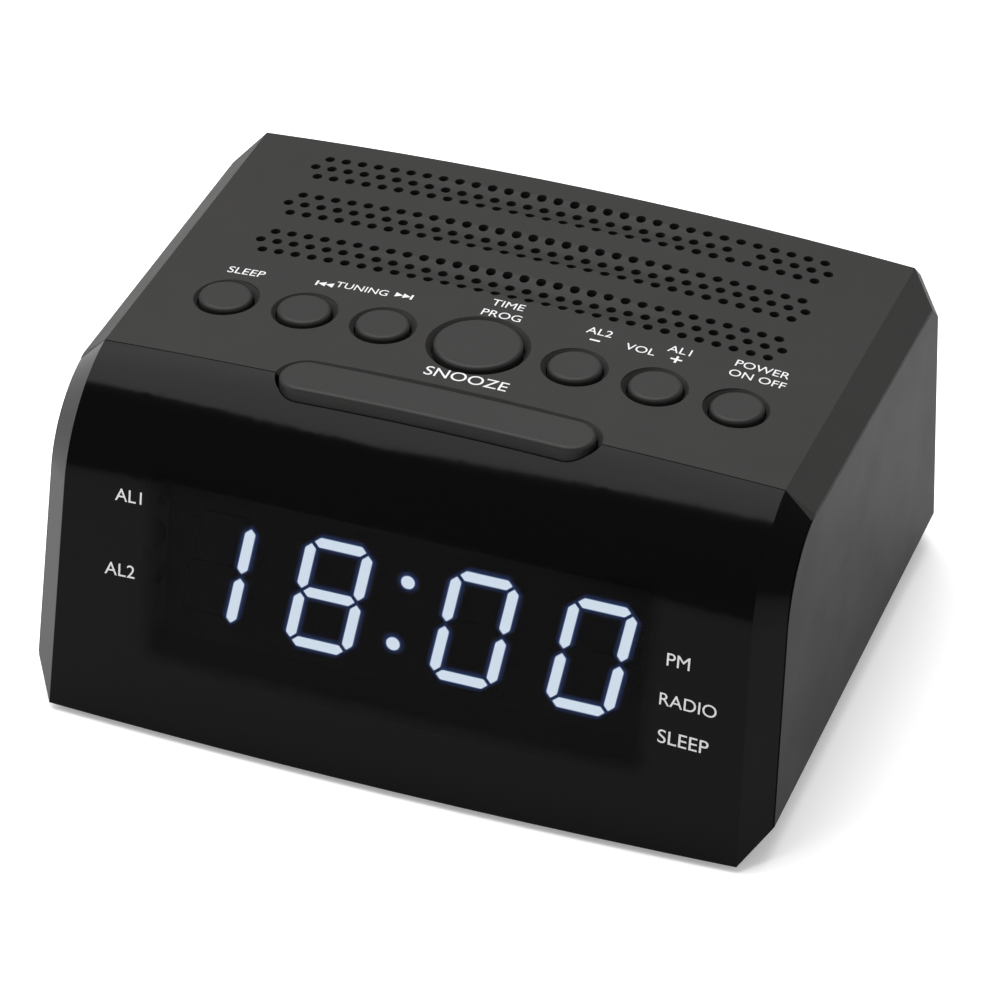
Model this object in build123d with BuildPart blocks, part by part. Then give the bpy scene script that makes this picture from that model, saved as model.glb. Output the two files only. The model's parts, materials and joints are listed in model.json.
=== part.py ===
# A table-top clock radio: a wedge-fronted case with a row of keys on a crowned deck,
# a glossy display lens, an LED clock module, a top-firing speaker and two circuit boards.
# Millimetres. X is the long way, Y points to the back, Z is up; the feet stand on Z = 0.
from math import atan2, cos, pi, radians, sin, sqrt, tan
import os

from build123d import *

# Overall sizes
side_half = 70.0  # half the width at the case's upper shoulder
flat_half = 65.0  # half the width of the deck between its bevels
body_depth = 112.0  # lens foot to back wall
deck_height = 68.3  # floor to the deck's front edge
feet_height = 1.3
wall = 2.0
seam = 0.2  # parting lines between the case pieces

# Case form
deck_slope = radians(2.8)
side_draft = radians(1.7)
lens_radius = 24.0
lens_break = radians(13.2)  # crease between the deck and the lens
face_lean = radians(8.14)  # lens face against the deck's normal
lens_reach = 28.5  # lens foot in front of the deck's front edge
deck_crown = 2.5
face_bow = 1.4
bevel_top = 5.2
bevel_front = 5.5
bevel_bottom = 5.5
bevel_back = 5.0
back_chamfer = 4.0
cover_skirt = 8.0

# Keys
key_row = 21.2  # key centres behind the deck's front edge
key_places = {"sleep": -49.5, "tune_down": -34.0, "tune_up": -18.6,
              "time": 0.0, "alarm_two": 18.6, "alarm_one": 34.0, "power": 49.5}
cap_radius = 5.0
moat_radius = 6.3
big_cap_radius = 8.25
big_moat_radius = 9.7
cap_gap = 0.3
cap_proud = 0.5
cap_round = 0.8
key_travel = 0.8
flange_lip = 1.5
flange_thick = 1.2
flange_gap = 0.7
stem_radius = 2.0
snooze_length = 60.0
snooze_width = 9.6
snooze_row = -0.1
snooze_proud = 0.8
snooze_flange_depth = 5.6
snooze_moat = 2.2
snooze_moat_depth = 1.6

# Key board and its switches
board_thick = 1.6
board_drop = 13.0  # deck surface to the key board
key_board_front = -7.0
key_board_back = 31.0
key_board_half = 62.0
switch_size = 6.0
switch_height = 3.4
plunger_radius = 1.7
plunger_gap = 0.06
plunger_proud = 1.0
plunger_depth = 1.6
boss_radius = 2.6
screw_radius = 1.1
screw_head_radius = 2.1
screw_head_height = 1.3
screw_length = 5.0

# Grille and speaker
hole_pitch = 3.3
hole_radius = 0.95
grille_rows = 3
grille_groups = 3
group_pitch = 13.87
grille_middle = 56.2
grille_holes = 31
groove_radius = 11.0
groove_depth = 0.7
speaker_size = 46.0
speaker_row = 56.4
speaker_drop = 4.4
flange_plate = 1.2
cone_radius = 19.5
magnet_radius = 13.0
magnet_height = 7.0
basket_depth = 13.0
speaker_screw_reach = 20.0

# Display
lens_air = 1.2  # lens inner face to the segments
digit_height = 22.9
digit_width = 12.9
digit_places = (-36.4, -13.8, 14.1, 36.4)
digit_drop = 13.8  # lens face's upper end to the digits' middle
digit_slant = tan(radians(9))
segment_stroke = 2.0
segment_thick = 1.0
segment_gap = 0.5
colon_reach = 6.5
colon_radius = 1.3
module_length = 92.0
module_height = 30.0
module_thick = 8.0
display_board_length = 112.0
display_board_height = 38.0
indicator_radius = 0.9
indicator_places = ((-47.8, -3.0), (-47.8, -19.0), (48.2, -11.0), (48.2, -19.0), (48.2, -27.3))
display_post_reach = 52.0

# Base, feet and main board
base_height = 5.5  # lower bevel's height, where the base meets the housing
foot_radius = 5.0
foot_reach = 54.0
foot_front = -40.0
foot_back = 44.0
pillar_radius = 3.6
pillar_reach = 64.0
pillar_front = -27.0
pillar_back = 46.0
case_screw_length = 14.0
main_board_drop = 7.0
main_board_half = 46.0
main_board_front = -22.0
main_board_back = 30.0
door_length = 30.0
door_width = 28.0
door_middle = 6.0
door_thick = 1.2
door_gap = 0.3
door_travel = 6.0
cell_radius = 10.0
cell_height = 3.2

# Back panel
inlet_place = -50.0
inlet_height = 22.0
inlet_size = 11.0
inlet_depth = 13.0
inlet_bore = 2.9
inlet_pin = 1.0
gland_radius = 3.0
gland_place = 50.0
gland_height = 26.0

os.makedirs("parts", exist_ok=True)

deck_y = lens_reach - body_depth / 2
deck = Plane(origin=(0, deck_y, deck_height), x_dir=(1, 0, 0), z_dir=(0, sin(deck_slope), cos(deck_slope)))
back_y = body_depth / 2
arc_middle = (lens_radius * sin(lens_break), -lens_radius * cos(lens_break))
lean = face_lean + deck_slope


def write(piece, name):
    """Label a finished piece and write its STEP file."""
    piece.label = name
    export_step(piece, f"parts/{name}.step")


def local(y, z):
    """Side-view place on the deck's own axes of a point given by its row Y and Z."""
    along, up = y - deck_y, z - deck_height
    return (along * cos(deck_slope) - up * sin(deck_slope), along * sin(deck_slope) + up * cos(deck_slope))


def crown(x):
    """How far the crowned deck has dropped at x."""
    return deck_crown * (x / flat_half) ** 2


def draw_section(plane, bow, top, front, bottom, back):
    """The case's side outline, drawn on one section plane and moved inwards on each side."""
    middle = (arc_middle[0] + face_bow * bow, arc_middle[1] - deck_crown * bow)
    radius = lens_radius - front
    level = -(deck_crown * bow + top)
    start = (middle[0] - sqrt(radius**2 - (level - middle[1]) ** 2), level)
    angle_from = atan2(start[1] - middle[1], start[0] - middle[0])
    angle_to = pi - face_lean
    angle_mid = (angle_from + angle_to) / 2
    half_way = (middle[0] + radius * cos(angle_mid), middle[1] + radius * sin(angle_mid))
    end = (middle[0] + radius * cos(angle_to), middle[1] + radius * sin(angle_to))
    floor_level = feet_height + bottom
    drop = deck_height - floor_level - end[0] * sin(deck_slope) + end[1] * cos(deck_slope)
    run = drop / cos(lean)
    foot = (end[0] - run * sin(face_lean), end[1] - run * cos(face_lean))
    heel = local(back_y - back, floor_level)
    across = (back_y - back - deck_y - level * sin(deck_slope)) / cos(deck_slope)
    rear_top = (across - back_chamfer, level)
    rear_low = (across + back_chamfer * tan(deck_slope), level - back_chamfer)
    with BuildSketch(plane) as section:
        with BuildLine():
            ThreePointArc(start, half_way, end)
            Polyline(end, foot, heel, rear_low, rear_top, start)
        make_face()
    return section.sketch


def section_plane(side, reach):
    """A side-view plane at the given reach, tilted by the side walls' draft."""
    tilt = side * side_draft
    up = deck.z_dir
    normal = Vector(cos(tilt), 0, 0) + up * sin(tilt)
    return Plane(origin=deck.origin + Vector(side * reach, 0, 0), x_dir=deck.y_dir, z_dir=normal)


def envelope(inset):
    """The whole case as one solid, with every face moved inwards by inset."""
    flat = flat_half - inset * tan(pi / 8)
    reach = side_half - inset
    bevels = (inset + bevel_top, inset + bevel_front, inset + bevel_bottom, inset + bevel_back)
    with BuildPart() as body:
        loft([draw_section(section_plane(side, flat * abs(side)), abs(side), inset, inset, inset, inset)
              for side in (-1, 0, 1)])
        for side in (-1, 1):
            shoulder = draw_section(section_plane(side, flat), 1, inset, inset, inset, inset)
            loft([shoulder, draw_section(section_plane(side, reach), 1, *bevels)], ruled=True)
    return body.part


outer = envelope(0)
inner = envelope(wall)
far = 200.0

with BuildPart() as shell:
    add(outer)
    add(inner, mode=Mode.SUBTRACT)

# Zones that part the shell into cover, lens, housing and base
edge_bow = face_bow * (far / flat_half) ** 2
with BuildPart() as cover_zone:
    with BuildSketch(deck.offset(-cover_skirt)):
        with BuildLine():
            ThreePointArc((-far, edge_bow), (0, 0), (far, edge_bow))
            Polyline((far, edge_bow), (far, far), (-far, far), (-far, edge_bow))
        make_face()
    extrude(amount=cover_skirt * 3)

with BuildPart() as rear_zone:
    zone_plane = Plane(origin=deck.origin - Vector(far / 2, 0, 0), x_dir=deck.y_dir, z_dir=(1, 0, 0))
    extrude(draw_section(zone_plane, 1, bevel_top, bevel_front, -bevel_bottom, -bevel_back), amount=far)
    with BuildSketch(deck.offset(-cover_skirt)):
        Rectangle(far, 3 * far)
    extrude(amount=far, mode=Mode.SUBTRACT)

with BuildPart() as base_zone:
    with BuildSketch(Plane.XY):
        Rectangle(far, far)
    extrude(amount=feet_height + base_height)
    add(rear_zone.part, mode=Mode.INTERSECT)

# Deck cover with its key holes, snooze notch, grille and bosses
boss_places = [(side * (key_board_half - boss_radius), row) for side in (-1, 1)
               for row in (key_board_front + boss_radius + 10, key_board_back - boss_radius)]
speaker_screws_at = [(sx * speaker_screw_reach, speaker_row + sy * speaker_screw_reach)
                     for sx in (-1, 1) for sy in (-1, 1)]


def snooze_sketch(level, grow):
    """The snooze bar's rounded outline on a plane above or below the deck."""
    with BuildSketch(deck.offset(level)) as outline:
        with Locations((0, snooze_row)):
            SlotOverall(snooze_length + 2 * grow, snooze_width + 2 * grow)
    return outline.sketch


with BuildPart() as top_cover:
    add(shell.part)
    add(cover_zone.part, mode=Mode.INTERSECT)
    with BuildSketch(deck.offset(-board_drop)):
        with Locations(*boss_places):
            Circle(boss_radius)
    extrude(amount=board_drop - wall / 2 - crown(key_board_half))
    with BuildSketch(deck.offset(-speaker_drop)):
        with Locations(*speaker_screws_at):
            Circle(boss_radius)
        with Locations((0, speaker_row)):
            Circle(cone_radius + 1.5)
            Circle(cone_radius, mode=Mode.SUBTRACT)
    extrude(amount=speaker_drop - wall / 2 - crown(speaker_screw_reach))
    with BuildSketch(deck.offset(-board_drop)):
        with Locations(*boss_places):
            Circle(screw_radius)
    extrude(amount=screw_length, mode=Mode.SUBTRACT)
    with BuildSketch(deck.offset(-speaker_drop)):
        with Locations(*speaker_screws_at):
            Circle(screw_radius)
    extrude(amount=screw_length / 2, mode=Mode.SUBTRACT)
    for place in key_places.values():
        big = place == 0
        hole = (big_cap_radius if big else cap_radius) + cap_gap
        rim = big_moat_radius if big else moat_radius
        with Locations(deck.offset(-crown(place)) * Location((place, key_row, 0))):
            CounterSinkHole(hole, rim, depth=far / 10)
    extrude(snooze_sketch(-far / 10, cap_gap), amount=far / 8, mode=Mode.SUBTRACT)
    loft([snooze_sketch(-snooze_moat_depth, cap_gap), snooze_sketch(cap_proud, snooze_moat)],
         mode=Mode.SUBTRACT)
    for group in range(grille_groups):
        group_row = grille_middle + (group - (grille_groups - 1) / 2) * group_pitch
        groove = deck.offset(groove_radius - groove_depth)
        with Locations(groove * Location((0, group_row, 0), (0, 90, 0))):
            Cylinder(groove_radius, (grille_holes + 2) * hole_pitch, mode=Mode.SUBTRACT)
    for group in range(grille_groups):
        for row in range(grille_rows):
            shift = 1 if row % 2 else 0
            line = grille_middle + (group - (grille_groups - 1) / 2) * group_pitch + (row - 1) * hole_pitch
            with BuildSketch(deck.offset(-cover_skirt)):
                with Locations((0, line)):
                    with GridLocations(hole_pitch, 1, grille_holes + shift, 1):
                        Circle(hole_radius, mode=Mode.ADD)
            extrude(amount=cover_skirt * 2, mode=Mode.SUBTRACT)
write(top_cover.part, "top_cover")

# Plane of the straight lens face: X across, Y up the face, Z out of it
face_end = (arc_middle[0] - lens_radius * cos(face_lean), arc_middle[1] + lens_radius * sin(face_lean))
face = Plane(origin=deck.origin + deck.y_dir * face_end[0] + deck.z_dir * face_end[1],
             x_dir=(1, 0, 0), z_dir=(0, -cos(lean), sin(lean)))
segment_back = wall + lens_air + segment_thick
board_front = segment_back + module_thick

# Glossy lens that wraps the front and its corner bevels
with BuildPart() as front_lens:
    add(shell.part)
    add(cover_zone.part.moved(Location((0, -seam, -seam))), mode=Mode.SUBTRACT)
    add(rear_zone.part.moved(Location((0, -seam, seam))), mode=Mode.SUBTRACT)
    with BuildSketch(Plane.XZ.offset(-back_y / 2)):
        Rectangle(far, far * 2)
    extrude(amount=-far, mode=Mode.SUBTRACT)
    extrude(snooze_sketch(-far / 10, cap_gap), amount=far / 8, mode=Mode.SUBTRACT)
    loft([snooze_sketch(-snooze_moat_depth, cap_gap), snooze_sketch(cap_proud, snooze_moat)],
         mode=Mode.SUBTRACT)
    with BuildSketch(face.offset(-board_front)):
        with Locations((-display_post_reach, -digit_drop), (display_post_reach, -digit_drop)):
            Circle(boss_radius)
    extrude(amount=board_front - wall / 2 - face_bow)
    with BuildSketch(face.offset(-board_front)):
        with Locations((-display_post_reach, -digit_drop), (display_post_reach, -digit_drop)):
            Circle(screw_radius)
    extrude(amount=screw_length, mode=Mode.SUBTRACT)
write(front_lens.part, "front_lens")

# Housing: both side walls and the back wall, with four screw pillars
base_top = feet_height + base_height
pillar_places = [(side * pillar_reach, row) for side in (-1, 1) for row in (pillar_front, pillar_back)]
rib_thick = 2.4
pillar_height = case_screw_length + 3
with BuildPart() as main_housing:
    add(shell.part)
    add(rear_zone.part.moved(Location((0, 0, -seam))), mode=Mode.INTERSECT)
    with BuildSketch(Plane.XY):
        Rectangle(far, far)
    extrude(amount=base_top + seam, mode=Mode.SUBTRACT)
    with BuildSketch(Plane.XY.offset(base_top + seam)):
        with Locations(*pillar_places):
            Circle(pillar_radius)
        for side, row in [(x / pillar_reach, y) for x, y in pillar_places]:
            with Locations((side * (pillar_reach + side_half) / 2, row)):
                Rectangle(side_half - pillar_reach, rib_thick)
    extrude(amount=pillar_height)
    with BuildSketch(Plane.XY.offset(base_top)):
        with Locations(*pillar_places):
            Circle(screw_radius)
    extrude(amount=case_screw_length, mode=Mode.SUBTRACT)
    with BuildSketch(Plane.XZ.offset(-back_y)):
        with Locations((inlet_place, inlet_height)):
            Circle(inlet_bore + 1.5)
        with Locations((gland_place, gland_height)):
            Circle(gland_radius)
    extrude(amount=wall * 2, mode=Mode.SUBTRACT)
write(main_housing.part, "main_housing")

# Base with screw wells, board posts, the cell well and the door's recess
board_posts = [(sx * (main_board_half - boss_radius), row) for sx in (-1, 1)
               for row in (main_board_front + boss_radius, main_board_back - boss_radius)]
floor_top = feet_height + wall
main_board_low = floor_top + main_board_drop
head_gap = 0.3
recess_depth = door_thick + 0.1
opening_margin = 3.0
cell_wall = 1.2
with BuildPart() as base_cover:
    add(shell.part)
    add(base_zone.part, mode=Mode.INTERSECT)
    with BuildSketch(Plane.XY.offset(floor_top - wall / 4)):
        with Locations(*pillar_places):
            Circle(pillar_radius)
    extrude(amount=base_height - wall + wall / 4)
    with BuildSketch(Plane.XY.offset(floor_top - wall / 4)):
        with Locations(*board_posts):
            Circle(boss_radius)
    extrude(amount=main_board_drop + wall / 4)
    with BuildSketch(Plane.XY.offset(floor_top - wall / 4)):
        with Locations((0, door_middle)):
            Circle(cell_radius + head_gap + cell_wall)
    extrude(amount=cell_height + wall / 4)
    with BuildSketch(Plane.XY.offset(feet_height)):
        with Locations((0, door_middle)):
            Circle(cell_radius + head_gap)
    extrude(amount=cell_height * 3, mode=Mode.SUBTRACT)
    with BuildSketch(Plane.XY.offset(feet_height)):
        with Locations((0, door_middle + door_travel / 2)):
            Rectangle(door_length + 2 * door_gap, door_width + door_travel + 2 * door_gap)
    extrude(amount=recess_depth, mode=Mode.SUBTRACT)
    with BuildSketch(Plane.XY):
        with Locations(*pillar_places):
            Circle(screw_radius + 0.1)
        with Locations(*board_posts):
            Circle(screw_radius)
    extrude(amount=far / 4, mode=Mode.SUBTRACT)
    with BuildSketch(Plane.XY):
        with Locations(*pillar_places):
            Circle(screw_head_radius + head_gap)
    extrude(amount=feet_height + screw_head_height + head_gap, mode=Mode.SUBTRACT)
write(base_cover.part, "base_cover")

with BuildPart() as rubber_feet:
    with BuildSketch(Plane.XY):
        with Locations(*[(side * foot_reach, row) for side in (-1, 1) for row in (foot_front, foot_back)]):
            Circle(foot_radius)
    extrude(amount=feet_height)
write(rubber_feet.part, "rubber_feet")


def screws(plane, places, length, name):
    """Pan-head screws: the heads' undersides lie on the plane, the shanks run along its normal."""
    with BuildPart() as group:
        with BuildSketch(plane.offset(-screw_head_height)):
            with Locations(*places):
                Circle(screw_head_radius)
        extrude(amount=screw_head_height)
        with BuildSketch(plane):
            with Locations(*places):
                Circle(screw_radius)
        extrude(amount=length)
        with BuildSketch(plane.offset(-screw_head_height)):
            with Locations(*places):
                Rectangle(screw_head_radius * 1.2, 0.5)
                Rectangle(0.5, screw_head_radius * 1.2)
        extrude(amount=screw_head_height / 2, mode=Mode.SUBTRACT)
    write(group.part, name)


screw_seat = feet_height + screw_head_height + head_gap
screws(Plane.XY.offset(screw_seat), pillar_places, case_screw_length - 1, "case_screws")

# Keys, their plungers and the key board
plunger_top = -(board_drop - switch_height - plunger_proud)
key_board_low = -(board_drop + board_thick)
switch_places = [(x, key_row) for x in key_places.values()] + [(0, snooze_row)]


def plunger(place, name):
    """The moving pin of one switch, touching its key's stem."""
    with BuildPart() as pin:
        with BuildSketch(deck.offset(plunger_top - plunger_proud - plunger_depth)):
            with Locations(place):
                Circle(plunger_radius)
        extrude(amount=plunger_proud + plunger_depth)
    write(pin.part, name)


def round_key(x, name):
    """A round key cap with a retaining flange under the deck and a stem to its switch."""
    radius = big_cap_radius if x == 0 else cap_radius
    top = cap_proud - crown(x)
    flange_top = -(wall + flange_gap + crown(x))
    with BuildPart() as key:
        with BuildSketch(deck.offset(flange_top)):
            with Locations((x, key_row)):
                Circle(radius)
        extrude(amount=top - flange_top)
        fillet(key.faces().sort_by(Axis(deck.origin, deck.z_dir))[-1].edges(), cap_round)
        with BuildSketch(deck.offset(flange_top - flange_thick)):
            with Locations((x, key_row)):
                Circle(radius + cap_gap + flange_lip)
        extrude(amount=flange_thick)
        with BuildSketch(deck.offset(plunger_top)):
            with Locations((x, key_row)):
                Circle(stem_radius)
        extrude(amount=flange_top - plunger_top)
    write(key.part, name)


for key_name, key_x in key_places.items():
    round_key(key_x, f"{key_name}_key")
    plunger((key_x, key_row), f"{key_name}_plunger")

with BuildPart() as snooze_bar:
    extrude(snooze_sketch(-snooze_flange_depth, 0), amount=snooze_flange_depth + snooze_proud)
    with BuildSketch(Plane(origin=deck.origin, x_dir=(1, 0, 0), z_dir=-deck.y_dir)):
        with BuildLine():
            ThreePointArc((-snooze_length, snooze_proud - crown(snooze_length)), (0, snooze_proud),
                          (snooze_length, snooze_proud - crown(snooze_length)))
            Polyline((snooze_length, snooze_proud - crown(snooze_length)), (snooze_length, -board_drop),
                     (-snooze_length, -board_drop), (-snooze_length, snooze_proud - crown(snooze_length)))
        make_face()
    extrude(amount=snooze_length, both=True, mode=Mode.INTERSECT)
    fillet(snooze_bar.faces().sort_by(Axis(deck.origin, deck.z_dir))[-1].edges(), cap_round)
    extrude(snooze_sketch(-snooze_flange_depth - flange_thick, flange_lip), amount=flange_thick)
    with BuildSketch(deck.offset(plunger_top)):
        with Locations((0, snooze_row)):
            Circle(stem_radius)
    extrude(amount=-snooze_flange_depth - plunger_top)
write(snooze_bar.part, "snooze_bar")
plunger((0, snooze_row), "snooze_plunger")

with BuildPart() as key_board:
    with BuildSketch(deck.offset(key_board_low)):
        with Locations((0, (key_board_front + key_board_back) / 2)):
            Rectangle(2 * key_board_half, key_board_back - key_board_front)
        with Locations(*boss_places):
            Circle(screw_radius, mode=Mode.SUBTRACT)
    extrude(amount=board_thick)
write(key_board.part, "key_board")

with BuildPart() as switch_bodies:
    with BuildSketch(deck.offset(-board_drop)):
        with Locations(*switch_places):
            Rectangle(switch_size, switch_size)
    extrude(amount=switch_height)
    with BuildSketch(deck.offset(-board_drop + switch_height)):
        with Locations(*switch_places):
            Circle(plunger_radius + plunger_gap)
    extrude(amount=-(plunger_depth + key_travel + head_gap), mode=Mode.SUBTRACT)
write(switch_bodies.part, "switch_bodies")
screws(deck.offset(key_board_low), boss_places, screw_length, "key_board_screws")

# Speaker
plate_low = -(speaker_drop + flange_plate)
cone_wall = 1.2
cone_foot = 7.0
with BuildPart() as speaker_basket:
    with BuildSketch(deck.offset(plate_low)):
        with Locations((0, speaker_row)):
            RectangleRounded(speaker_size, speaker_size, boss_radius)
            Circle(cone_radius, mode=Mode.SUBTRACT)
        with Locations(*speaker_screws_at):
            Circle(screw_radius, mode=Mode.SUBTRACT)
    extrude(amount=flange_plate)
    for grow, mode in ((cone_wall, Mode.ADD), (0, Mode.SUBTRACT)):
        with Locations(deck.offset(plate_low - basket_depth / 2) * Location((0, speaker_row, 0))):
            Cone(magnet_radius + grow, cone_radius + grow, basket_depth, mode=mode)
    with Locations(deck.offset(plate_low - basket_depth - cone_wall / 2) * Location((0, speaker_row, 0))):
        Cylinder(magnet_radius + cone_wall, cone_wall)
write(speaker_basket.part, "speaker_basket")
with BuildPart() as speaker_magnet:
    with BuildSketch(deck.offset(plate_low - basket_depth - cone_wall)):
        with Locations((0, speaker_row)):
            Circle(magnet_radius)
    extrude(amount=-magnet_height)
write(speaker_magnet.part, "speaker_magnet")
cone_height = basket_depth / 2
with BuildPart() as speaker_cone:
    for drop, mode in ((0, Mode.ADD), (cone_wall / 2, Mode.SUBTRACT)):
        with Locations(deck.offset(plate_low + flange_plate - cone_height / 2 + drop) * Location((0, speaker_row, 0))):
            Cone(cone_foot, cone_radius - head_gap, cone_height, mode=mode)
write(speaker_cone.part, "speaker_cone")
screws(deck.offset(plate_low), speaker_screws_at, screw_length / 2, "speaker_screws")

# Display: lit segments, their carrier, the board behind them and its lamps
half_tall = digit_height / 2 - segment_stroke / 2
half_wide = digit_width / 2 - segment_stroke / 2


def bar(start, end):
    """One light bar with pointed ends, between two corners of a digit, before the slant."""
    length = sqrt((end[0] - start[0]) ** 2 + (end[1] - start[1]) ** 2) / 2 - segment_gap
    half = segment_stroke / 2
    if start[1] == end[1]:
        outline = [(-length, 0), (half - length, half), (length - half, half),
                   (length, 0), (length - half, -half), (half - length, -half)]
    else:
        outline = [(0, -length), (half, half - length), (half, length - half),
                   (0, length), (-half, length - half), (-half, half - length)]
    middle = ((start[0] + end[0]) / 2, (start[1] + end[1]) / 2)
    return [(x + middle[0] + digit_slant * (y + middle[1]), y + middle[1]) for x, y in outline]


corners = [(sx * half_wide, level * half_tall) for level in (1, 0, -1) for sx in (-1, 1)]
pairs = ((0, 1), (2, 3), (4, 5), (0, 2), (1, 3), (2, 4), (3, 5))
with BuildPart() as display_segments:
    for digit_x in digit_places:
        for first, second in pairs:
            with BuildSketch(face.offset(-segment_back)):
                with Locations((digit_x, -digit_drop)):
                    Polygon(*bar(corners[first], corners[second]), align=None)
            extrude(amount=segment_thick)
write(display_segments.part, "display_segments")
with BuildPart() as colon_dots:
    with BuildSketch(face.offset(-segment_back)):
        with Locations(*[(side * colon_reach * digit_slant, side * colon_reach - digit_drop) for side in (-1, 1)]):
            Circle(colon_radius)
    extrude(amount=segment_thick)
write(colon_dots.part, "colon_dots")
with BuildPart() as display_module:
    with BuildSketch(face.offset(-board_front)):
        with Locations((0, -digit_drop)):
            Rectangle(module_length, module_height)
    extrude(amount=module_thick)
write(display_module.part, "display_module")
with BuildPart() as display_board:
    with BuildSketch(face.offset(-board_front - board_thick)):
        with Locations((0, -digit_drop)):
            Rectangle(display_board_length, display_board_height)
            with Locations((-display_post_reach, 0), (display_post_reach, 0)):
                Circle(screw_radius, mode=Mode.SUBTRACT)
    extrude(amount=board_thick)
write(display_board.part, "display_board")
with BuildPart() as indicator_lamps:
    with BuildSketch(face.offset(-board_front)):
        with Locations(*indicator_places):
            Circle(indicator_radius)
    extrude(amount=module_thick)
write(indicator_lamps.part, "indicator_lamps")
screws(face.offset(-board_front - board_thick), [(-display_post_reach, -digit_drop),
       (display_post_reach, -digit_drop)], screw_length, "display_screws")

# Main board and what stands on it
main_board_top = main_board_low + board_thick
board_middle = (main_board_front + main_board_back) / 2
with BuildPart() as main_board:
    with BuildSketch(Plane.XY.offset(main_board_low)):
        with Locations((0, board_middle)):
            Rectangle(2 * main_board_half, main_board_back - main_board_front)
        with Locations(*board_posts):
            Circle(screw_radius, mode=Mode.SUBTRACT)
    extrude(amount=board_thick)
write(main_board.part, "main_board")
with BuildPart() as main_board_screws:
    with BuildSketch(Plane.XY.offset(main_board_top)):
        with Locations(*board_posts):
            Circle(screw_head_radius)
    extrude(amount=screw_head_height)
    with BuildSketch(Plane.XY.offset(main_board_top)):
        with Locations(*board_posts):
            Circle(screw_radius)
    extrude(amount=-screw_length)
write(main_board_screws.part, "main_board_screws")


def block(places, size, height, name):
    """Rectangular components standing on the main board."""
    with BuildPart() as group:
        with BuildSketch(Plane.XY.offset(main_board_top)):
            with Locations(*places):
                Rectangle(*size)
        extrude(amount=height)
    write(group.part, name)


block([(28, 14)], (18, 14), 6.0, "tuner_shield")
block([(-6, 10), (4, -10)], (12, 8), 1.8, "signal_chips")
block([(-22, -12)], (9, 3.6), 3.2, "crystal")
with BuildPart() as capacitors:
    with BuildSketch(Plane.XY.offset(main_board_top)):
        with Locations((-34, 4), (-34, 16), (-24, 18)):
            Circle(4)
    extrude(amount=11)
write(capacitors.part, "capacitors")

# Back-up cell, its contact and the sliding door under it
cell_low = feet_height + recess_depth + head_gap
with BuildPart() as backup_cell:
    with BuildSketch(Plane.XY.offset(cell_low)):
        with Locations((0, door_middle)):
            Circle(cell_radius)
    extrude(amount=cell_height)
write(backup_cell.part, "backup_cell")
with BuildPart() as cell_contact:
    with BuildSketch(Plane.XY.offset(cell_low + cell_height)):
        with Locations((0, door_middle)):
            Rectangle(cell_radius, stem_radius * 2)
    extrude(amount=main_board_low - cell_low - cell_height)
write(cell_contact.part, "cell_contact")
with BuildPart() as battery_door:
    with BuildSketch(Plane.XY.offset(feet_height)):
        with Locations((0, door_middle)):
            Rectangle(door_length, door_width)
    extrude(amount=door_thick)
    with BuildSketch(Plane.XY.offset(feet_height)):
        with Locations((0, door_middle - door_width / 4)):
            with GridLocations(1, 2, 1, 4):
                Rectangle(door_length / 3, 1)
    extrude(amount=door_thick / 3, mode=Mode.SUBTRACT)
write(battery_door.part, "battery_door")

# Power inlet and aerial gland in the back wall
with BuildPart() as dc_inlet:
    with BuildSketch(Plane.XZ.offset(-back_y + wall)):
        with Locations((inlet_place, inlet_height)):
            Rectangle(inlet_size, inlet_size)
    extrude(amount=inlet_depth)
    with BuildSketch(Plane.XZ.offset(-back_y)):
        with Locations((inlet_place, inlet_height)):
            Circle(inlet_bore + 1.4)
    extrude(amount=wall)
    with BuildSketch(Plane.XZ.offset(-back_y)):
        with Locations((inlet_place, inlet_height)):
            Circle(inlet_bore)
    extrude(amount=inlet_depth - wall, mode=Mode.SUBTRACT)
write(dc_inlet.part, "dc_inlet")
with BuildPart() as inlet_contact:
    with BuildSketch(Plane.XZ.offset(-back_y + wall / 2)):
        with Locations((inlet_place, inlet_height)):
            Circle(inlet_pin)
    extrude(amount=inlet_depth - 1.5 * wall)
write(inlet_contact.part, "inlet_contact")
with BuildPart() as aerial_gland:
    with BuildSketch(Plane.XZ.offset(-back_y)):
        with Locations((gland_place, gland_height)):
            Circle(gland_radius - 0.05)
    extrude(amount=wall)
    with BuildSketch(Plane.XZ.offset(-back_y + wall)):
        with Locations((gland_place, gland_height)):
            Circle(gland_radius + 1.5)
    extrude(amount=wall)
    with BuildSketch(Plane.XZ.offset(-back_y)):
        with Locations((gland_place, gland_height)):
            Circle(gland_radius / 2)
    extrude(amount=3 * wall, mode=Mode.SUBTRACT)
write(aerial_gland.part, "aerial_gland")
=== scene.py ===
# %% [markdown]
# # A clock radio in Blender
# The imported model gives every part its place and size. This lesson dresses it: a matt deck,
# a glossy wrap-round lens, glowing digits behind it and the small printed words beside the keys.

# %% Load the frame
import bmesh
import bpy
import json
from math import cos, radians, sin, tan
from mathutils import Euler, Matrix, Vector
from mathutils.bvhtree import BVHTree

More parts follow.
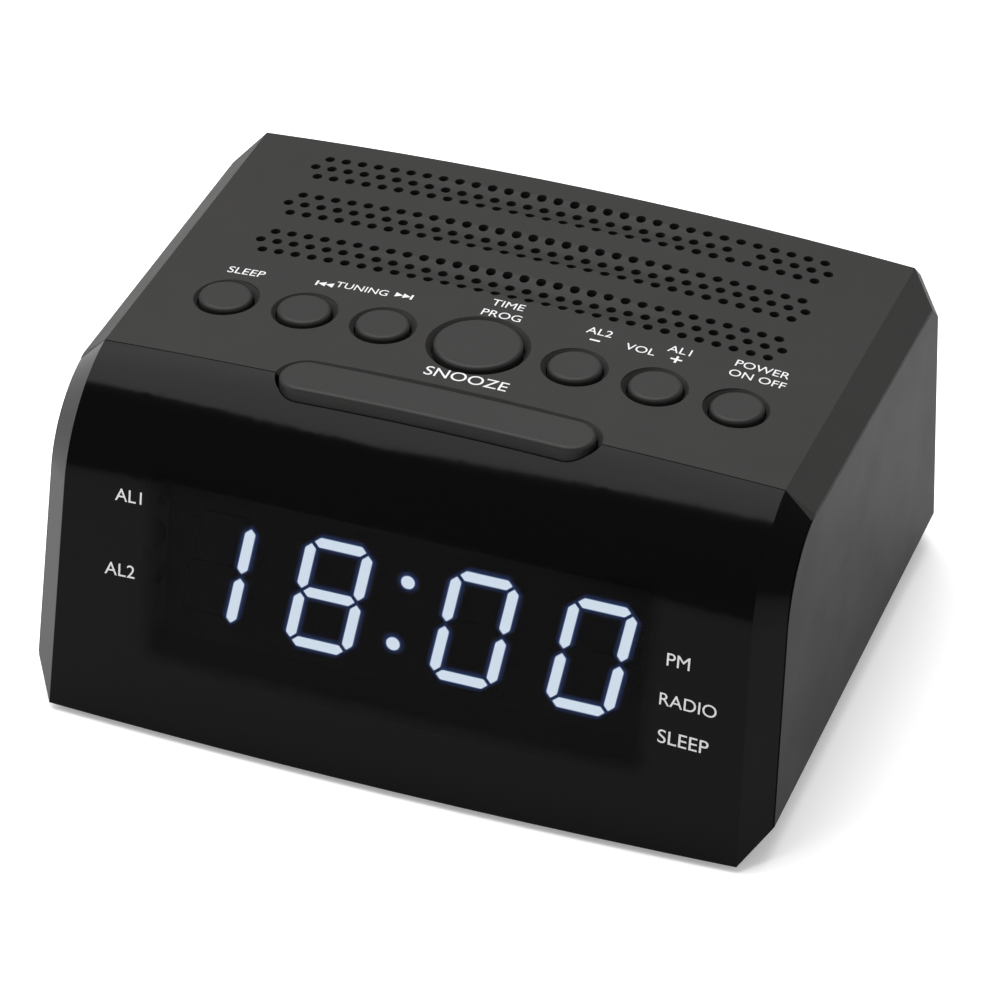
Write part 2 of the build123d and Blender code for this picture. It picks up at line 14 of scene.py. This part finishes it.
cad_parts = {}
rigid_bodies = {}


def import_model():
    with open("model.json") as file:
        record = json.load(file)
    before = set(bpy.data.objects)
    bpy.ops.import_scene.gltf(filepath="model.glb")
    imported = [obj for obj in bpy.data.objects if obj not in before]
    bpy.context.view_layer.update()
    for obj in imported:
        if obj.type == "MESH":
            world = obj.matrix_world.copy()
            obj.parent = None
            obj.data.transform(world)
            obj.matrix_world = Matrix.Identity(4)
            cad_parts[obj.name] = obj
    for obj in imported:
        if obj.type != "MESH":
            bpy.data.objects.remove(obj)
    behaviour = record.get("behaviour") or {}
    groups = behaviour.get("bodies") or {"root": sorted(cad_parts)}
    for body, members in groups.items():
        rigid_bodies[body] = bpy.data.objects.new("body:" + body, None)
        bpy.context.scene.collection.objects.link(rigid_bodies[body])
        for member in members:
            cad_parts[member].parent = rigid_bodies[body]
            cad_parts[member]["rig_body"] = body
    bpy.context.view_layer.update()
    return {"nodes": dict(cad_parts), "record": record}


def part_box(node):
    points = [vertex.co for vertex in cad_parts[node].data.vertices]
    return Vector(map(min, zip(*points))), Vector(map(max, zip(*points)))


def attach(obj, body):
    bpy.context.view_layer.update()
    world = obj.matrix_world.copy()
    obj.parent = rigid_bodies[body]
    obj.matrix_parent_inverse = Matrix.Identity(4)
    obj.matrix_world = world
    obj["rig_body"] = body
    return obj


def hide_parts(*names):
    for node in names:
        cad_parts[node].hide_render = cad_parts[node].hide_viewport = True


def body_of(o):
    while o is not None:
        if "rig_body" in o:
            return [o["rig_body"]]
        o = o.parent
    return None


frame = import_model()
nodes = frame["nodes"]
scene = bpy.context.scene

# %% [markdown]
# The view comes first, because every look is judged from it. A long lens gives the flat
# perspective of a catalogue picture, from above and a little to the right.

# %% Camera
view_place = Vector((0.3016, -0.8150, 0.6909))
view_turn = Euler((radians(52.64), radians(-0.08), radians(20.25)))
camera_data = bpy.data.cameras.new("view_camera")
camera_data.lens = 211.3
camera = bpy.data.objects.new("view_camera", camera_data)
camera.location = view_place
camera.rotation_euler = view_turn
scene.collection.objects.link(camera)
scene.camera = camera
scene.view_settings.view_transform = "Standard"
print("camera at", tuple(round(c, 3) for c in view_place))

# %% [markdown]
# The deck of the case slopes gently to the back and is crowned across. Text and lens are laid out
# on the deck's own axes, so this cell names the case's form once: the same angles and radii that
# the construction uses, in metres.

# %% Case form
MM = 0.001
lens_low, lens_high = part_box("front_lens")
deck_slope = radians(2.8)
face_lean = radians(8.14)
lens_break = radians(13.2)
lens_radius = 24.0 * MM
lens_reach = 28.5 * MM
flat_half = 65.0 * MM
deck_crown = 2.5 * MM
face_bow = 1.4 * MM
deck_height = 68.3 * MM
deck_edge = Vector((0, lens_low.y + lens_reach, deck_height))
deck_back = Vector((0, cos(deck_slope), -sin(deck_slope)))
deck_up = Vector((0, sin(deck_slope), cos(deck_slope)))
arc_middle = (lens_radius * sin(lens_break), -lens_radius * cos(lens_break))
print("deck edge at", tuple(round(c, 4) for c in deck_edge))


def on_deck(x, along, lift):
    """Row place of a point given across, along and above the crowned deck, in metres."""
    up = lift - deck_crown * (x / flat_half) ** 2
    return deck_edge + Vector((x, 0, 0)) + deck_back * along + deck_up * up


def on_mesh(tree, start, way, lift):
    """The place on a mesh that a ray along way meets, lifted back by lift."""
    hit = tree.ray_cast(start, way)[0]
    return hit - way * lift


def on_face(x, up, lift):
    """Row place of a point on the straight lens face: x across, up the face, lift out of it."""
    bow = (x / flat_half) ** 2
    along = arc_middle[0] + face_bow * bow - lens_radius * cos(face_lean)
    level = arc_middle[1] - deck_crown * bow + lens_radius * sin(face_lean)
    along += up * sin(face_lean) - lift * cos(face_lean)
    level += up * cos(face_lean) + lift * sin(face_lean)
    return deck_edge + Vector((x, 0, 0)) + deck_back * along + deck_up * level


# %% [markdown]
# Shader maths reads best as plain arithmetic. This small class wraps a socket, so that masks can be
# added, multiplied and compared with ordinary Python operators.

# %% Shader helper
class Sock:
    """One output socket of a material, with arithmetic."""

    def __init__(self, tree, out):
        self.tree = tree
        self.out = out

    def node(self, kind, settings=(), **inputs):
        made = self.tree.nodes.new(kind)
        for key, value in dict(settings).items():
            setattr(made, key, value)
        for key, value in inputs.items():
            socket = made.inputs[int(key[1:])] if key[1:].isdigit() else made.inputs[key.replace("_", " ")]
            if isinstance(value, Sock):
                self.tree.links.new(value.out, socket)
            else:
                socket.default_value = value
        return made

    def maths(self, operation, *values):
        numbered = {f"i{n}": value for n, value in enumerate(values)}
        return Sock(self.tree, self.node("ShaderNodeMath", {"operation": operation}, **numbered).outputs[0])

    def __add__(self, other):
        return self.maths("ADD", self, other)

    def __sub__(self, other):
        return self.maths("SUBTRACT", self, other)

    def __rsub__(self, other):
        return self.maths("SUBTRACT", other, self)

    def __mul__(self, other):
        return self.maths("MULTIPLY", self, other)

    __radd__ = __add__
    __rmul__ = __mul__


def new_material(name, color, roughness, metallic=0.0, coat=0.0, specular=0.5):
    """A principled material and its object-space coordinates."""
    material = bpy.data.materials.new(name)
    material.use_nodes = True
    tree = material.node_tree
    shader = tree.nodes["Principled BSDF"]
    shader.inputs["Base Color"].default_value = (*color, 1)
    shader.inputs["Roughness"].default_value = roughness
    shader.inputs["Metallic"].default_value = metallic
    shader.inputs["Coat Weight"].default_value = coat
    shader.inputs["Specular IOR Level"].default_value = specular
    place = Sock(tree, tree.nodes.new("ShaderNodeTexCoord").outputs["Object"])
    return material, shader, place


def noise(place, scale, detail=3.0):
    """Fractal noise between 0 and 1, at a scale in cells a metre."""
    return Sock(place.tree, place.node("ShaderNodeTexNoise", Vector=place, Scale=scale, Detail=detail).outputs["Fac"])


def mixed(place, factor, dark, light):
    """A colour between two, by a 0 to 1 factor."""
    blend = place.node("ShaderNodeMix", {"data_type": "RGBA"}, i0=factor, i6=(*dark, 1), i7=(*light, 1))
    return blend.outputs[2]


def grain(place, shader, height, strength, distance):
    """Bump from a height value."""
    bump = place.node("ShaderNodeBump", Height=height, Strength=strength, Distance=distance)
    place.tree.links.new(bump.outputs["Normal"], shader.inputs["Normal"])


print("shader helper ready")

# %% [markdown]
# Moulded plastic is never one flat tone: spark-eroded moulds leave a fine grain, and handling
# polishes it unevenly. Each plastic gets grain in its bump and a slow drift in colour and gloss.


# %% Plastics
wear = 0.1


def plastic(name, color, roughness, grain_scale, grain_depth, drift=0.12, specular=0.5):
    """Grained moulded plastic with a slow drift of tone and gloss."""
    material, shader, place = new_material(name, color, roughness, specular=specular)
    slow = noise(place, 35.0)
    dark = [c * (1 - drift) for c in color]
    light = [c * (1 + drift) for c in color]
    place.tree.links.new(mixed(place, slow, dark, light), shader.inputs["Base Color"])
    gloss = noise(place, 90.0) * wear + (roughness - wear / 2)
    place.tree.links.new(gloss.out, shader.inputs["Roughness"])
    grain(place, shader, noise(place, grain_scale, 2.0), 0.35, grain_depth)
    return material


deck_plastic = plastic("deck_plastic", (0.0165, 0.0157, 0.0150), 0.58, 2600.0, 0.00012, specular=0.22)
key_plastic = plastic("key_plastic", (0.0150, 0.0143, 0.0137), 0.5, 3200.0, 0.00006, specular=0.25)
case_plastic = plastic("case_plastic", (0.0025, 0.0025, 0.0025), 0.42, 2200.0, 0.00010, specular=0.05)
foot_rubber = plastic("foot_rubber", (0.02, 0.02, 0.02), 0.8, 1800.0, 0.0002)
component_black = plastic("component_black", (0.02, 0.02, 0.021), 0.5, 1500.0, 0.0001)
board_green = plastic("board_green", (0.02, 0.11, 0.045), 0.35, 700.0, 0.0001)
cone_paper = plastic("cone_paper", (0.03, 0.03, 0.032), 0.85, 900.0, 0.0003)
light_bar = plastic("light_bar", (0.0015, 0.0015, 0.002), 0.6, 900.0, 0.0001, specular=0.05)
module_black = plastic("module_black", (0.0012, 0.0012, 0.0014), 0.7, 900.0, 0.0001, specular=0.05)
print("plastics made")

# %% [markdown]
# Screws, contacts and the speaker's frame are plated steel, and its magnet is ground ferrite.
# They lie mostly inside, so one recipe of fine scratches and a drifting gloss serves them all.


# %% Metals
def metal(name, color, roughness, scale):
    """Plated or ground metal with fine scratches."""
    material, shader, place = new_material(name, color, roughness, metallic=1.0)
    gloss = noise(place, scale) * 0.25 + (roughness - 0.1)
    place.tree.links.new(gloss.out, shader.inputs["Roughness"])
    grain(place, shader, noise(place, scale * 3), 0.2, 0.00005)
    return material


plated_steel = metal("plated_steel", (0.62, 0.62, 0.60), 0.35, 400.0)
ferrite = metal("ferrite", (0.10, 0.10, 0.105), 0.6, 300.0)
finishes = {"cover_plastic": deck_plastic, "key_plastic": key_plastic, "case_plastic": case_plastic,
            "foot_rubber": foot_rubber, "component_black": component_black, "board_green": board_green,
            "cone_paper": cone_paper, "light_bar": light_bar, "module_black": module_black,
            "steel": plated_steel, "magnet": ferrite, "lens_gloss": component_black}
for part in frame["record"]["subparts"]:
    holder = nodes[part["node"]]
    holder.data.materials.clear()
    holder.data.materials.append(finishes[part["material_slot"]])
print("finishes assigned")

# %% [markdown]
# The lens is one sheet of polished acrylic that rolls over from the deck's front edge into the
# leaning face. A real one is nearly black, and the lit digits show through it. Here its finish is
# polished black, thinned by Alpha in a soft-edged window in front of the clock module. The mesh is
# a merged copy of the construction's lens, so that its roll-over shades smoothly.

# %% Lens finish
module_low, module_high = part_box("display_module")
lens_gloss, lens_shader, lens_place = new_material("lens_gloss", (0.0006, 0.0006, 0.0008), 0.10, specular=0.075)
split = lens_place.node("ShaderNodeSeparateXYZ", Vector=lens_place)
across = Sock(lens_place.tree, split.outputs["X"])
upward = Sock(lens_place.tree, split.outputs["Z"])
window_low = module_low.z
window_high = module_high.z + 5 * MM
edge_width = 4 * MM
window_clear = 0.5


def rise(value, start):
    """A soft step from 0 to 1 over the window's edge."""
    steep = value.node("ShaderNodeMath", {"operation": "MULTIPLY", "use_clamp": True},
                       i0=value - start, i1=1 / edge_width)
    return Sock(value.tree, steep.outputs[0])


window = (rise(across, module_low.x - edge_width) * rise(module_high.x + edge_width - across, 0)
          * rise(upward, window_low - edge_width) * rise(window_high - upward, 0))
lens_place.tree.links.new((1 - window * window_clear).out, lens_shader.inputs["Alpha"])
haze = noise(lens_place, 60.0) * 0.04 + 0.10
lens_place.tree.links.new(haze.out, lens_shader.inputs["Roughness"])


def smoothed(node, name, material, crease=22):
    """A merged copy of a CAD node with smooth shading and crisp creases, which stands for it."""
    maker = bmesh.new()
    maker.from_mesh(nodes[node].data)
    bmesh.ops.remove_doubles(maker, verts=maker.verts, dist=1e-6)
    for item in maker.faces:
        item.smooth = True
    for edge in maker.edges:
        edge.smooth = len(edge.link_faces) == 2 and edge.calc_face_angle(0) < radians(crease)
    data = bpy.data.meshes.new(name)
    maker.to_mesh(data)
    maker.free()
    data.materials.append(material)
    piece = bpy.data.objects.new(name, data)
    scene.collection.objects.link(piece)
    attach(piece, body_of(nodes[node])[0])
    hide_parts(node)
    print(name, len(data.polygons), "faces")
    return piece


smoothed("front_lens", "polished_lens", lens_gloss)
print("lens window", round(window_low, 4), round(window_high, 4))

# %% [markdown]
# The digits are seven-segment lamps. Each segment is a pointed bar, laid out flat on a grid of
# six corners, slanted, and carried onto the plane of the light bars. The lit ones glow blue-white,
# and wider, dimmer copies behind them make the blue bloom of the diffuser.

# %% Glowing finishes
def glow(name, color, strength):
    """A light-giving finish, a little brighter in the middle of its grain."""
    material, shader, place = new_material(name, (0.02, 0.02, 0.02), 0.5)
    drift = noise(place, 500.0)
    dark = [c * 0.95 for c in color]
    place.tree.links.new(mixed(place, drift, dark, color), shader.inputs["Emission Color"])
    shader.inputs["Emission Strength"].default_value = strength
    return material


lit_segment = glow("lit_segment", (0.76, 0.87, 1.0), 3.3)
halo_finishes = [glow("halo_near", (0.10, 0.28, 0.95), 0.50), glow("halo_middle", (0.05, 0.14, 0.60), 0.30),
                 glow("halo_far", (0.02, 0.06, 0.30), 0.22)]

print("glowing finishes", 1 + len(halo_finishes))

# %% [markdown]
# The time reads 18:00. The bars are laid out from six corners for each figure, so one loop makes
# all the lit bars, and the same loop with a larger growth makes each layer of the bloom.

# %% Digits
digit_height = 22.9 * MM
digit_width = 12.9 * MM
stroke = 2.0 * MM
segment_gap = 0.5 * MM
digit_slant = tan(radians(9))
digit_drop = 13.8 * MM
digit_places = (-36.4 * MM, -13.8 * MM, 14.1 * MM, 36.4 * MM)
colon_reach = 6.5 * MM
colon_radius = 1.3 * MM
segment_face = -(2.0 + 1.2) * MM
half_tall = (digit_height - stroke) / 2
half_wide = (digit_width - stroke) / 2
corners = [Vector((sx * half_wide, level * half_tall)) for level in (1, 0, -1) for sx in (-1, 1)]
ends = {"a": (0, 1), "g": (2, 3), "d": (4, 5), "f": (0, 2), "b": (1, 3), "e": (2, 4), "c": (3, 5)}
shown = {"1": "bc", "8": "abcdefg", "0": "abcdef"}


def finish_mesh(mesh_maker, name, material, body="case"):
    """Turn a bmesh into an object that rides on a body."""
    data = bpy.data.meshes.new(name)
    mesh_maker.to_mesh(data)
    mesh_maker.free()
    piece = bpy.data.objects.new(name, data)
    scene.collection.objects.link(piece)
    data.materials.append(material)
    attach(piece, body)
    return piece


def face_point(x, up, lift):
    """A point on the flat plane of the light bars: the lens face without its bow."""
    return on_face(0, up, lift) + Vector((x, 0, 0))


def add_bar(maker, digit_x, first, second, grow, lift):
    """One pointed bar, grown on every side, on the light bars' plane."""
    start, end = corners[first], corners[second]
    run = end - start
    along = run.normalized()
    side = Vector((-along.y, along.x))
    half = stroke / 2 + grow
    reach = run.length / 2 - segment_gap + grow
    middle = (start + end) / 2
    outline = [(-reach, 0), (half - reach, -half), (reach - half, -half), (reach, 0),
               (reach - half, half), (half - reach, half)]
    made = []
    for a, s in outline:
        flat = middle + along * a + side * s
        made.append(maker.verts.new(face_point(digit_x + flat.x + digit_slant * flat.y, flat.y - digit_drop, lift)))
    maker.faces.new(made)


def display_layer(name, material, grow, lift):
    """All lit bars and the colon of the display, at one height above the light bars."""
    maker = bmesh.new()
    for digit_x, figure in zip(digit_places, "1800"):
        for letter in shown[figure]:
            add_bar(maker, digit_x, *ends[letter], grow, lift)
    for side in (-1, 1):
        dot = bmesh.ops.create_circle(maker, cap_ends=True, segments=32, radius=colon_radius + grow)
        for vert in dot["verts"]:
            x, y = vert.co.x + side * colon_reach * digit_slant, vert.co.y + side * colon_reach
            vert.co = face_point(x, y - digit_drop, lift)
    bmesh.ops.recalc_face_normals(maker, faces=maker.faces)
    for item in maker.faces:
        if item.normal.y > 0:
            item.normal_flip()
    return finish_mesh(maker, name, material)


display_layer("lit_digits", lit_segment, 0.0, segment_face + 0.30 * MM)
for step, material in enumerate(halo_finishes):
    display_layer(f"digit_halo_{step + 1}", material, (0.25 + 0.35 * step) * MM,
                  segment_face + (0.22 - 0.06 * step) * MM)
print("display layers made")

# %% [markdown]
# The words by the keys are pad-printed: flat, slightly rough paint with crisp edges. Text is
# turned into a mesh first, then each corner is laid on the crowned deck or the bowed lens.

# %% Printed words
deck_print = plastic("deck_print", (0.62, 0.62, 0.62), 0.6, 3000.0, 0.00003)
print_lift = 0.04 * MM
ray_start = 5 * MM
deck_tree = BVHTree.FromPolygons([v.co for v in nodes["top_cover"].data.vertices],
                                 [p.vertices for p in nodes["top_cover"].data.polygons])
lens_tree = BVHTree.FromPolygons([v.co for v in nodes["front_lens"].data.vertices],
                                 [p.vertices for p in nodes["front_lens"].data.polygons])
face_way = on_face(0, 0, 0) - on_face(0, 0, 1)


def laid_on_deck(x, along, lift):
    """A place on the deck's real surface."""
    return on_mesh(deck_tree, on_deck(x, along, ray_start), -deck_up, lift)


def laid_on_face(x, up, lift):
    """A place on the lens's real surface."""
    return on_mesh(lens_tree, on_face(x, up, ray_start), face_way.normalized(), lift)


def printed(words, size, x, along, place, name):
    """A word centred at x, along, laid on the deck or the face."""
    curve = bpy.data.curves.new(name, "FONT")
    curve.body = words
    curve.size = size
    curve.align_x = "CENTER"
    curve.align_y = "CENTER"
    holder = bpy.data.objects.new(name, curve)
    scene.collection.objects.link(holder)
    bpy.context.view_layer.update()
    data = bpy.data.meshes.new_from_object(holder)
    bpy.data.objects.remove(holder)
    for vert in data.vertices:
        vert.co = place(x + vert.co.x, along + vert.co.y, print_lift)
    piece = bpy.data.objects.new(name, data)
    scene.collection.objects.link(piece)
    data.materials.clear()
    data.materials.append(deck_print)
    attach(piece, "case")
    return piece


word = 3.0 * MM
deck_words = [("SLEEP", word, -49.2, 30.4), ("TUNING", 2.7 * MM, -26.6, 31.5), ("TIME", word, 0.5, 35.7),
              ("PROG", word, 0.5, 32.0), ("SNOOZE", 4.0 * MM, 1.8, 10.0), ("AL2", word, 19.0, 33.7),
              ("VOL", word, 27.6, 31.4), ("AL1", word, 34.6, 34.0), ("POWER", word, 49.8, 34.8),
              ("ON OFF", word, 49.9, 31.5)]
for words, size, x, along in deck_words:
    label = "word_" + words.lower().replace(" ", "_")
    printed(words, size, x * MM, along * MM, laid_on_deck, label)
face_words = [("AL1", 3.6 * MM, -52.4, -0.5), ("AL2", 3.7 * MM, -53.8, -15.8), ("PM", 3.7 * MM, 53.0, -8.3),
              ("RADIO", 3.55 * MM, 55.4, -16.4), ("SLEEP", 3.9 * MM, 55.1, -23.9)]
for words, size, x, up in face_words:
    printed(words, size, x * MM, up * MM, laid_on_face, "lens_word_" + words.lower())
print("words", len(deck_words) + len(face_words))

# %% [markdown]
# The small signs beside the words, two arrows with a bar, a minus and a plus, are flat outlines of
# a few corners each, which is simpler than looking for them in a font.


# %% Printed signs
def sign(outlines, name):
    """A flat printed sign from closed outlines on the deck, in millimetres."""
    maker = bmesh.new()
    for outline in outlines:
        maker.faces.new([maker.verts.new(laid_on_deck(x * MM, y * MM, print_lift)) for x, y in outline])
    return finish_mesh(maker, name, deck_print)


def box_outline(x, y, wide, tall):
    """Corners of an upright rectangle."""
    return [(x - wide / 2, y - tall / 2), (x + wide / 2, y - tall / 2),
            (x + wide / 2, y + tall / 2), (x - wide / 2, y + tall / 2)]


def arrow(x, y, way, size):
    """Corners of an arrowhead that points left (-1) or right (1)."""
    return [(x, y - size / 2), (x + way * size, y), (x, y + size / 2)][::way]


arrow_size = 1.5
bar_wide = 0.4
bar_tall = 1.6
down_row = 30.9
up_row = 31.9
sign([arrow(-33.6, down_row, -1, arrow_size), arrow(-32.1, down_row, -1, arrow_size),
      box_outline(-35.3, down_row, bar_wide, bar_tall)],
     "sign_tune_down")
sign([arrow(-20.2, up_row, 1, arrow_size), arrow(-18.7, up_row, 1, arrow_size),
      box_outline(-17.0, up_row, bar_wide, bar_tall)],
     "sign_tune_up")
sign([box_outline(19.0, 30.9, 2.0, 0.45)], "sign_minus")
sign([box_outline(34.6, 31.1, 2.2, 0.45)], "sign_plus_across")
sign([box_outline(34.6, 31.1, 0.45, 2.2)], "sign_plus_upright")
print("signs made")

# %% [markdown]
# A plain pale floor and soft lamps. A wide soft light behind and above the deck gives the
# lens its long soft gleam where it rolls over, and a tall one at the left lights the corner bevel.

# %% Floor
floor_half = 3.0
floor_maker = bmesh.new()
bmesh.ops.create_grid(floor_maker, x_segments=1, y_segments=1, size=floor_half)
floor_data = bpy.data.meshes.new("floor")
floor_maker.to_mesh(floor_data)
floor_maker.free()
floor = bpy.data.objects.new("floor", floor_data)
scene.collection.objects.link(floor)
floor_material, floor_shader, _ = new_material("floor_paper", (0.9, 0.9, 0.9), 0.9, specular=0.0)
floor_shader.inputs["Emission Color"].default_value = (1, 1, 1, 1)
floor_shader.inputs["Emission Strength"].default_value = 0.28
floor_data.materials.append(floor_material)
print("floor laid")

# %% [markdown]
# The world gives even light from all round. Rays from the camera see it white, so the page behind
# the object stays clean, and two soft lamps add the gleams.

# %% World and lamps
world = bpy.data.worlds.new("studio")
scene.world = world
world.use_nodes = True
tree = world.node_tree
ground = tree.nodes["Background"]
ground.inputs["Strength"].default_value = 0.5
white = tree.nodes.new("ShaderNodeBackground")
white.inputs["Color"].default_value = (1, 1, 1, 1)
path = tree.nodes.new("ShaderNodeLightPath")
either = tree.nodes.new("ShaderNodeMixShader")
seen = Sock(tree, path.outputs["Is Camera Ray"]) + Sock(tree, path.outputs["Is Transmission Ray"])
tree.links.new(seen.out, either.inputs[0])
tree.links.new(ground.outputs[0], either.inputs[1])
tree.links.new(white.outputs[0], either.inputs[2])
tree.links.new(either.outputs[0], tree.nodes["World Output"].inputs[0])
ground.inputs["Color"].default_value = (1, 1, 1, 1)


def soft_lamp(name, place, size, size_y, power, aim=(0, 0, 0.03)):
    """A rectangular soft light turned towards the object."""
    data = bpy.data.lights.new(name, "AREA")
    data.shape = "RECTANGLE"
    data.size = size
    data.size_y = size_y
    data.energy = power
    lamp = bpy.data.objects.new(name, data)
    lamp.location = place
    lamp.rotation_euler = (Vector(aim) - Vector(place)).to_track_quat("-Z", "Y").to_euler()
    scene.collection.objects.link(lamp)
    return lamp


soft_lamp("top_light", (-0.35, 0.35, 1.5), 1.8, 1.2, 34)
soft_lamp("left_light", (-1.3, -0.3, 0.9), 0.5, 0.7, 4)
print("stage lit")
